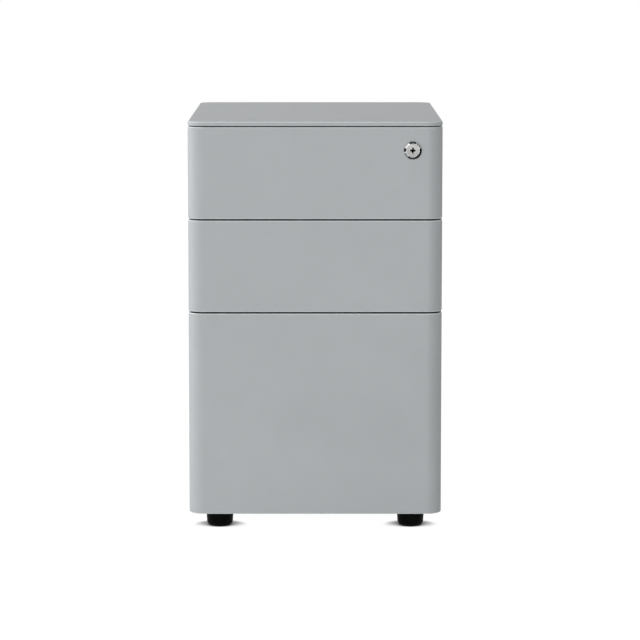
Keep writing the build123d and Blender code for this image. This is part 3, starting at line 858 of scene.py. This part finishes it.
@dataclass
class CentralLock:
    """Lock in the top drawer with the bar that it lifts."""

    shop: Workshop
    edge: float = 0.2 * MM
    sides: int = 96
    ring_proud: float = 3.0 * MM
    ring_rim: float = 0.8 * MM
    ring_bevel: float = 3.7 * MM
    ring_dome: float = 0.12 * MM
    dome_steps: int = 10
    edge_round: float = 0.06 * MM
    edge_steps: int = 4
    barrel_radius: float = 11.0 * MM
    bore_gap: float = 0.2 * MM
    face_radius: float = 10.0 * MM
    face_gap: float = 0.05 * MM
    face_recess: float = 0.5 * MM
    face_thickness: float = 2.4 * MM
    plug_radius: float = 6.5 * MM
    tail_width: float = 6.0 * MM
    tail_length: float = 2.0 * MM
    keyway_span: float = 8.8 * MM
    keyway_stretch: float = 1.14
    keyway_depth: float = 9.0 * MM
    groove_radius: float = 7.4 * MM
    groove_depth: float = 0.05 * MM
    thread_pitch: float = 1.0 * MM
    thread_length: float = 12.0 * MM
    thread_sides: int = 48

    def build(self) -> None:
        """Makes the barrel and the plug, and dresses the parts behind them."""
        self._barrel()
        self._plug()
        for node in ("lock_nut", "lock_cam", "lock_arm", "lock_bar", "lock_hooks"):
            self.shop.carry(node, self.shop.zinc, self.edge)

    def _axis(self, node: str) -> Tuple[Matrix, float, float]:
        """Axis of a turned node of the lock.

        Args:
            node: Name of the node.

        Returns:
            Its place with levels rising to the front, its outer radius and its length.
        """
        low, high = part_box(node)
        point = ((low.x + high.x) / 2, high.y, (low.z + high.z) / 2)
        return seat(point, (0.0, -1.0, 0.0)), (high.x - low.x) / 2, high.y - low.y

    def _dome(self, radius: float, level: float) -> List[Ring]:
        """Bevel of the ring, bowed out a little.

        Args:
            radius: Outer radius of the ring.
            level: Level of its seat on the drawer front.

        Returns:
            The rings from the rim to the lip.
        """
        rise = self.ring_proud - self.ring_rim
        slope = math.atan2(self.ring_bevel, rise)
        chord = math.hypot(self.ring_bevel, rise)
        bow = chord * chord / (8 * self.ring_dome) + self.ring_dome / 2
        half = math.degrees(2 * math.atan2(2 * self.ring_dome, chord))
        centre = (radius - self.ring_bevel / 2 - (bow - self.ring_dome) * math.cos(slope),
                  level + self.ring_rim + rise / 2 - (bow - self.ring_dome) * math.sin(slope))
        return arc(centre, bow, math.degrees(slope) - half, math.degrees(slope) + half, self.dome_steps)

    def _barrel(self) -> None:
        """Threaded housing with a bevelled ring, bored for the plug."""
        place, radius, length = self._axis("lock_barrel")
        flange = length - self.ring_proud
        lip = radius - self.ring_bevel
        bore = self.plug_radius + self.bore_gap
        mouth = self.face_radius + self.face_gap
        shoulder = length - self.face_recess - self.face_thickness
        core = self.barrel_radius - self.shop.thread_depth * self.thread_pitch
        small = self.edge_round
        rings = [Ring(bore, 0.0), Ring(core - small, 0.0), Ring(core, small), Ring(core, self.thread_length),
                 Ring(self.barrel_radius, self.thread_length), Ring(self.barrel_radius, flange),
                 Ring(radius, flange)]
        rings += self._dome(radius, flange)
        rings += arc((lip - small, length - small), small, 90.0, 180.0, self.edge_steps)
        rings += [Ring(mouth, length - 2 * small), Ring(mouth, shoulder), Ring(bore, shoulder),
                  Ring(bore, 0.0)]
        mesh = bmesh.new()
        self.shop.turn(mesh, rings, place, self.sides)
        self.shop.thread(mesh, place, self.barrel_radius, self.thread_pitch, self.thread_length,
                         self.thread_sides)
        piece = self.shop.keep(mesh, "lock_housing", "top_drawer", Slot.CHROME, [self.shop.chrome])
        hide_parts("lock_barrel")

    def _plug(self) -> None:
        """Plug with a turned groove in its face and a plus-shaped keyway; the keyway's walls take a
        near-black finish as painted shade for the deep recess.
        """
        place, radius, face = self._axis("lock_plug")
        shoulder = face - self.face_thickness
        bottom = face - self.keyway_depth
        span = self.keyway_span / 2
        tall = self.keyway_stretch
        small = self.edge_round
        tail = self.tail_width / 2
        groove = self.groove_radius
        deep = face - self.groove_depth
        rings = [Ring(0.0, 0.0), Ring(tail, 0.0), Ring(tail, self.tail_length),
                 Ring(self.plug_radius, self.tail_length), Ring(self.plug_radius, shoulder),
                 Ring(radius, shoulder)]
        rings += arc((radius - small, face - small), small, 0.0, 90.0, self.edge_steps)
        rings += [Ring(groove + small, face), Ring(groove, deep), Ring(groove - small, deep),
                  Ring(groove - 2 * small, face)]
        rings += [Ring(span + small, face, Form.PLUS, stretch=tall),
                  Ring(span, face - small, Form.PLUS, finish=1, stretch=tall),
                  Ring(span, bottom, Form.PLUS, finish=1, stretch=tall), Ring(0.0, bottom)]
        mesh = bmesh.new()
        self.shop.turn(mesh, rings, place, self.sides)
        # the second finish is the keyway's painted shade
        finishes = [self.shop.satin, self.shop.keyway]
        piece = self.shop.keep(mesh, "lock_key_plug", "lock_plug", Slot.SATIN, finishes)
        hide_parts("lock_plug")


@dataclass
class LevellingFeet:
    """The four black feet on their threaded studs."""

    shop: Workshop
    sides: int = 72
    pan_gap: float = 0.3 * MM
    spread: float = 0.5 * MM
    sole_round: float = 8.0 * MM
    sole_steps: int = 12
    flare: float = 0.4 * MM
    rim_round: float = 0.8 * MM
    rim_steps: int = 4
    well_radius: float = 12.5 * MM
    well_depth: float = 1.4 * MM
    hub_radius: float = 7.5 * MM
    stud_radius: float = 4.0 * MM
    stud_pitch: float = 1.25 * MM
    stud_point: float = 0.5
    stud_sides: int = 24

    def build(self) -> None:
        """Makes a pad and a stud in the place of each foot."""
        for row in ("front", "rear"):
            for side in Side:
                self._foot(f"foot_{row}_{side.value}")

    def _foot(self, node: str) -> None:
        """Makes the pad and the stud of one foot.

        Args:
            node: Name of its CAD node and body.
        """
        low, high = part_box(node)
        place = seat(((low.x + high.x) / 2, (low.y + high.y) / 2, low.z))
        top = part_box("base_pan")[0].z - self.pan_gap
        radius = (high.x - low.x) / 2 + self.spread
        sole = radius - 2 * self.flare
        rim = radius + self.flare - self.rim_round
        well = top - self.well_depth
        rings = [Ring(0.0, 0.0)]
        rings += arc((sole - self.sole_round, self.sole_round), self.sole_round, -90.0, 0.0, self.sole_steps)
        rings += arc((rim, top - self.rim_round), self.rim_round, 0.0, 90.0, self.rim_steps)
        rings += [Ring(self.well_radius, top), Ring(self.well_radius - self.rim_round, well),
                  Ring(self.hub_radius + self.rim_round, well), Ring(self.hub_radius, top), Ring(0.0, top)]
        pad = bmesh.new()
        self.shop.turn(pad, rings, place, self.sides)
        piece = self.shop.keep(pad, f"{node}_pad", node, Slot.NYLON, [self.shop.nylon])
        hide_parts(node)
        core = self.stud_radius - self.shop.thread_depth * self.stud_pitch
        point = self.stud_point * core
        end = high.z - low.z
        rings = [Ring(core, top), Ring(core, end - point), Ring(point, end), Ring(0.0, end)]
        start = place @ Matrix.Translation((0.0, 0.0, top))
        stud = bmesh.new()
        self.shop.turn(stud, rings, place, self.stud_sides)
        self.shop.thread(stud, start, self.stud_radius, self.stud_pitch, end - top - point, self.stud_sides)
        self.shop.keep(stud, f"{node}_stud", node, Slot.ZINC, [self.shop.zinc])


@dataclass
class Softbox:
    """One area lamp of the studio."""

    name: str
    place: Point
    aim: Point
    width: float
    height: float
    power: float
    gleams: bool = True

    def build(self) -> None:
        """Hangs the lamp."""
        data = bpy.data.lights.new(self.name, "AREA")
        data.shape = "RECTANGLE"
        data.size = self.width
        data.size_y = self.height
        data.energy = self.power
        lamp = bpy.data.objects.new(self.name, data)
        lamp.location = self.place
        lamp.visible_camera = False
        lamp.visible_glossy = self.gleams
        lamp.rotation_mode = "QUATERNION"
        lamp.rotation_quaternion = (Vector(self.aim) - Vector(self.place)).to_track_quat("-Z", "Y")
        bpy.context.scene.collection.objects.link(lamp)


@dataclass
class Flag:
    """Curved card round the lock that shows in reflections only, so that bright metal has darks."""

    name: str
    start: float
    end: float
    tone: float
    reach: float = 0.5
    near: float = -0.32
    far: float = -1.5
    steps: int = 8

    def build(self) -> None:
        """Hangs the card."""
        low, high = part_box("lock_barrel")
        across = (low.x + high.x) / 2
        level = (low.z + high.z) / 2
        mesh = bmesh.new()
        rows = []
        for step in range(self.steps + 1):
            angle = math.radians(self.start + (self.end - self.start) * step / self.steps)
            x = across + self.reach * math.cos(angle)
            z = level + self.reach * math.sin(angle)
            rows.append([mesh.verts.new((x, y, z)) for y in (self.near, self.far)])
        for one, other in zip(rows, rows[1:]):
            mesh.faces.new((one[0], one[1], other[1], other[0]))
        material, sheet = unlit(self.name)
        tone = rgba((self.tone,) * 3)
        glow = sheet.add("ShaderNodeEmission", {"Color": tone, "Strength": 1.0}).outputs[0]
        sheet.join(glow, sheet.tree.nodes["Material Output"], "Surface")
        card = settle(mesh, self.name, [material])
        for rays in ("camera", "diffuse", "shadow", "transmission"):
            setattr(card, f"visible_{rays}", False)


@dataclass
class Studio:
    """Floor, surround, lamps, cards and camera."""

    floor_span: float = 14.0
    floor_cuts: int = 4
    floor_bounce: float = 0.8
    floor_white: float = 0.98
    floor_shade: float = 0.10
    painted_shadow_reach: float = 25.0 * MM
    painted_shadow_power: float = 4.2
    painted_shadow_lean: Point = (0.0, -0.94, 0.34)
    painted_shadow_samples: int = 16
    ambient: float = 0.95
    left_gain: float = 0.45
    zenith_drop: float = 0.62
    camera_place: Point = (0.0, -4.986, 0.912)
    camera_pitch: float = 7.073
    camera_sensor: float = 36.0
    camera_range: float = 60.0
    focal_pixels: float = 3093.0
    centre_pixel: float = 315.15
    image_pixels: int = 640
    softboxes: Tuple[Softbox, ...] = (
        Softbox("softbox_left", (-2.4, -0.9, 1.3), (0.0, -0.2, 0.35), 1.6, 2.0, 10.0),
        Softbox("softbox_rim", (-2.4, 0.35, 0.7), (-0.1, -0.2, 0.35), 0.5, 1.6, 14.0),
        Softbox("softbox_near", (-1.0, -0.1, 1.35), (0.0, 0.0, 0.6), 0.5, 0.5, 1.6),
        Softbox("softbox_low", (0.0, -1.1, 0.12), (0.0, -0.28, 0.2), 1.2, 0.2, 0.45, False),
        Softbox("softbox_over", (-0.5, -2.6, 2.4), (0.0, -0.1, 0.55), 1.8, 1.2, 6.0),
        Softbox("softbox_front", (0.1, -4.4, 0.45), (0.0, -0.2, 0.3), 2.4, 1.6, 44.0),
    )
    flags: Tuple[Flag, ...] = (
        Flag("flag_over", 62.0, 118.0, 0.07),
        Flag("flag_high_left", 118.0, 166.0, 0.40, far=-0.55),
        Flag("flag_left", 166.0, 194.0, 0.008),
        Flag("flag_low_left", 200.0, 238.0, 0.30),
        Flag("flag_low", 238.0, 300.0, 0.05),
        Flag("flag_right", 300.0, 372.0, 0.008),
        Flag("flag_high_right", 14.0, 60.0, 0.28),
    )

    def build(self) -> None:
        """Sets up the whole studio."""
        self._floor()
        self._world()
        for softbox in self.softboxes:
            softbox.build()
            LOG.info("lamp %s", softbox.name)
        for flag in self.flags:
            flag.build()
            LOG.info("card %s", flag.name)
        self._camera()
        bpy.context.scene.view_settings.view_transform = "Standard"

    @staticmethod
    def _seen(sheet: NodeSheet) -> Socket:
        """Tells what is looked at from the light that falls on things.

        Args:
            sheet: Sheet of the material or world.

        Returns:
            A socket with 1 for rays from the camera, reflections and glass, and 0 for other rays.
        """
        path = sheet.add("ShaderNodeLightPath").outputs
        either = sheet.maths("MAXIMUM", path["Is Camera Ray"], path["Is Glossy Ray"])
        return sheet.maths("MAXIMUM", either, path["Is Transmission Ray"])

    def _floor(self) -> None:
        """White floor with a painted contact shadow round the feet and a little real shadow under the
        pedestal.
        """
        cuts = self.floor_cuts
        mesh = bmesh.new()
        bmesh.ops.create_grid(mesh, x_segments=cuts, y_segments=cuts, size=self.floor_span / 2)
        floor = settle(mesh, "floor", [self._floor_look()])
        LOG.info("stage floor")

    def _floor_look(self) -> Material:
        """White with a painted shadow close round the feet, from an occlusion mask in its glow, and a little
        real shadow.

        Returns:
            The floor's material.
        """
        material, sheet = unlit("floor_white")
        # painted shadow: occlusion round the feet darkens the floor's glow; its hemisphere leans to the
        # front so that the shadow lies further back
        leaning = sheet.add("ShaderNodeNormal").outputs[0]
        leaning.default_value = Vector(self.painted_shadow_lean).normalized()
        inputs = {"Distance": self.painted_shadow_reach, "Normal": leaning}
        free = sheet.add("ShaderNodeAmbientOcclusion", inputs, samples=self.painted_shadow_samples).outputs["AO"]
        tone = sheet.grey(sheet.maths("POWER", free, self.painted_shadow_power))
        glow = sheet.add("ShaderNodeEmission", {"Color": tone, "Strength": self.floor_white}).outputs[0]
        shade = sheet.add("ShaderNodeBsdfDiffuse", {"Color": rgba((self.floor_shade,) * 3)}).outputs[0]
        look = sheet.add("ShaderNodeAddShader", {0: glow, 1: shade}).outputs[0]
        bounce = sheet.add("ShaderNodeBsdfDiffuse", {"Color": rgba((self.floor_bounce,) * 3)}).outputs[0]
        mixed = sheet.add("ShaderNodeMixShader", {0: self._seen(sheet), 1: bounce, 2: look}).outputs[0]
        sheet.join(mixed, sheet.tree.nodes["Material Output"], "Surface")
        return material

    def _world(self) -> None:
        """Pale surround, a little brighter on the left; white where it is seen."""
        world = bpy.data.worlds.new("surround")
        world.use_nodes = True
        bpy.context.scene.world = world
        sheet = NodeSheet(world.node_tree)
        way = sheet.add("ShaderNodeTexCoord").outputs["Generated"]
        across, _, upward = sheet.add("ShaderNodeSeparateXYZ", {0: way}).outputs
        sides = (self.ambient + self.left_gain, self.ambient - self.left_gain)
        beside = sheet.remap(across, (-1.0, 1.0), sides)
        level = sheet.maths("SUBTRACT", beside, sheet.remap(upward, UNIT, (0.0, self.zenith_drop)))
        strength = sheet.add("ShaderNodeMix", {0: self._seen(sheet), 2: level, 3: 1.0}).outputs[0]
        background = sheet.tree.nodes["Background"]
        background.inputs["Color"].default_value = (1.0, 1.0, 1.0, 1.0)
        sheet.join(strength, background, "Strength")

    def _camera(self) -> None:
        """Camera where the photograph was taken from."""
        data = bpy.data.cameras.new("camera")
        data.sensor_width = self.camera_sensor
        data.lens = self.focal_pixels / self.image_pixels * data.sensor_width
        data.shift_x = (self.image_pixels / 2 - self.centre_pixel) / self.image_pixels
        data.clip_end = self.camera_range
        camera = bpy.data.objects.new("camera", data)
        camera.location = self.camera_place
        camera.rotation_euler = (math.radians(90.0 - self.camera_pitch), 0.0, 0.0)
        bpy.context.scene.collection.objects.link(camera)
        bpy.context.scene.camera = camera


def main() -> None:
    """Builds the looks round the frame."""
    logging.basicConfig(level=logging.INFO, format="%(name)s %(message)s")
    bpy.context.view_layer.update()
    shop = Workshop()
    Cabinet(shop).build()
    for name in DrawerName:
        DrawerUnit(shop, name).build()
    CentralLock(shop).build()
    LevellingFeet(shop).build()
    Studio().build()


if __name__ == "__main__":
    main()
